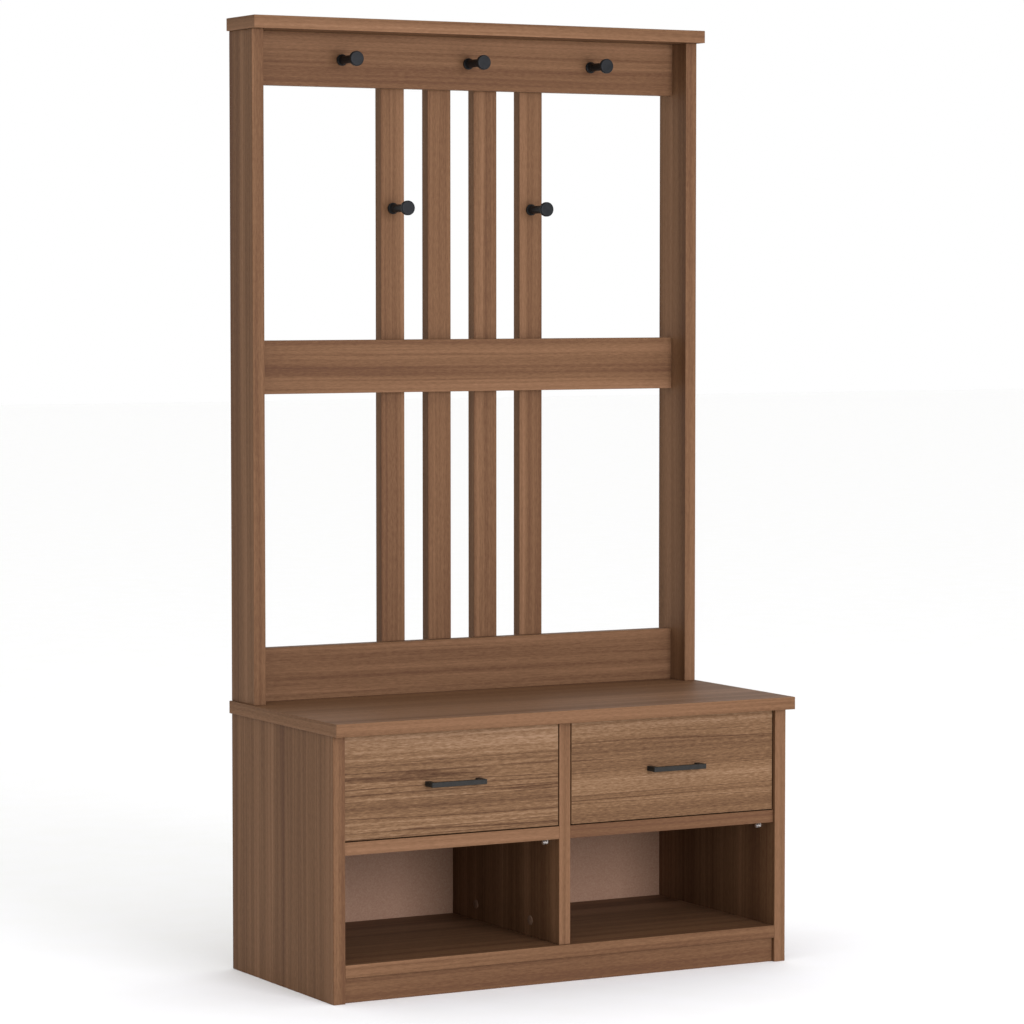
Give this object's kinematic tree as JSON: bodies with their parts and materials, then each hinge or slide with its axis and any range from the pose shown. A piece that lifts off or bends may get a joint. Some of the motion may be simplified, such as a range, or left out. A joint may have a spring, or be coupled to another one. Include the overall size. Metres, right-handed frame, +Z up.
{
  "type": "hall tree",
  "caption": "Hall tree: a shoe bench with drawers over open bays and an open slatted back frame with knob hooks under a cap board.",
  "frame": {"origin": "on the floor, under the middle of the whole object's box (middle of the bench top in plan)", "axes": "+Z up, +X to the right as seen from the front, +Y towards the wall; the drawers open towards -Y"},
  "size_m": [0.9, 0.423, 1.656],
  "materials": {
    "board_decor": "matt wood-grain melamine on particle board",
    "drawer_front_decor": "matt wood-grain melamine with strong streaks",
    "back_sheet": "printed hardboard, matt",
    "slate_metal": "satin black-slate powder coat",
    "runner_paint": "white powder coat",
    "bright_steel": "zinc-plated steel",
    "nylon": "white nylon",
    "cover_plastic": "brown moulded plastic",
    "beech_dowel": "fluted beech"
  },
  "bodies": {
    "root": {"side_panel_left": "board_decor", "side_panel_right": "board_decor", "divider": "board_decor", "bench_top": "board_decor", "floor_shelf": "board_decor", "mid_shelf_left": "board_decor", "mid_shelf_right": "board_decor", "plinth": "board_decor", "back_panel": "back_sheet", "post_left": "board_decor", "post_right": "board_decor", "cap_board": "board_decor", "top_rail": "board_decor", "middle_rail": "board_decor", "bottom_rail": "board_decor", "slat_1": "board_decor", "slat_2": "board_decor", "slat_3": "board_decor", "slat_4": "board_decor", "knob_top_left": "slate_metal", "knob_top_middle": "slate_metal", "knob_top_right": "slate_metal", "knob_slat_left": "slate_metal", "knob_slat_right": "slate_metal", "cam_bolts": "bright_steel", "cam_locks": "bright_steel", "cover_caps": "cover_plastic", "wood_dowels": "beech_dowel", "frame_screws": "bright_steel", "slat_screws": "bright_steel", "knob_screws": "bright_steel", "shelf_pins": "bright_steel", "back_panel_nails": "bright_steel", "cabinet_runners": "runner_paint", "runner_screws": "bright_steel"},
    "drawer_left": {"drawer_left_front": "drawer_front_decor", "drawer_left_side_a": "board_decor", "drawer_left_side_b": "board_decor", "drawer_left_back": "board_decor", "drawer_left_bottom": "back_sheet", "drawer_left_handle": "slate_metal", "drawer_left_handle_screws": "bright_steel", "drawer_left_cam_fittings": "bright_steel", "drawer_left_screws": "bright_steel", "drawer_left_runners": "runner_paint"},
    "drawer_right": {"drawer_right_front": "drawer_front_decor", "drawer_right_side_a": "board_decor", "drawer_right_side_b": "board_decor", "drawer_right_back": "board_decor", "drawer_right_bottom": "back_sheet", "drawer_right_handle": "slate_metal", "drawer_right_handle_screws": "bright_steel", "drawer_right_cam_fittings": "bright_steel", "drawer_right_screws": "bright_steel", "drawer_right_runners": "runner_paint"},
    "front_rollers_left": {"front_rollers_left": "nylon"},
    "front_rollers_right": {"front_rollers_right": "nylon"},
    "rear_rollers_left": {"drawer_left_rollers": "nylon"},
    "rear_rollers_right": {"drawer_right_rollers": "nylon"}
  },
  "joints": [
    {"name": "drawer_left_slide", "type": "slide", "parent": "root", "child": "drawer_left", "axis": [0, -1, 0], "range_m": [0, 0.26]},
    {"name": "front_rollers_left_spin", "type": "hinge", "parent": "root", "child": "front_rollers_left", "pos_m": [-0.217, -0.153, 0.295], "axis": [1, 0, 0], "range_deg": [-10, 1580]},
    {"name": "rear_rollers_left_spin", "type": "hinge", "parent": "drawer_left", "child": "rear_rollers_left", "pos_m": [-0.217, 0.168, 0.295], "axis": [1, 0, 0], "range_deg": [-10, 1580]},
    {"name": "drawer_right_slide", "type": "slide", "parent": "root", "child": "drawer_right", "axis": [0, -1, 0], "range_m": [0, 0.26]},
    {"name": "front_rollers_right_spin", "type": "hinge", "parent": "root", "child": "front_rollers_right", "pos_m": [0.217, -0.153, 0.295], "axis": [1, 0, 0], "range_deg": [-10, 1580]},
    {"name": "rear_rollers_right_spin", "type": "hinge", "parent": "drawer_right", "child": "rear_rollers_right", "pos_m": [0.217, 0.168, 0.295], "axis": [1, 0, 0], "range_deg": [-10, 1580]}
  ],
  "couplings": [
    {"joint": "front_rollers_left_spin", "follows": "drawer_left_slide", "rad_per_m": 105.26},
    {"joint": "rear_rollers_left_spin", "follows": "drawer_left_slide", "rad_per_m": 105.26},
    {"joint": "front_rollers_right_spin", "follows": "drawer_right_slide", "rad_per_m": 105.26},
    {"joint": "rear_rollers_right_spin", "follows": "drawer_right_slide", "rad_per_m": 105.26}
  ]
}
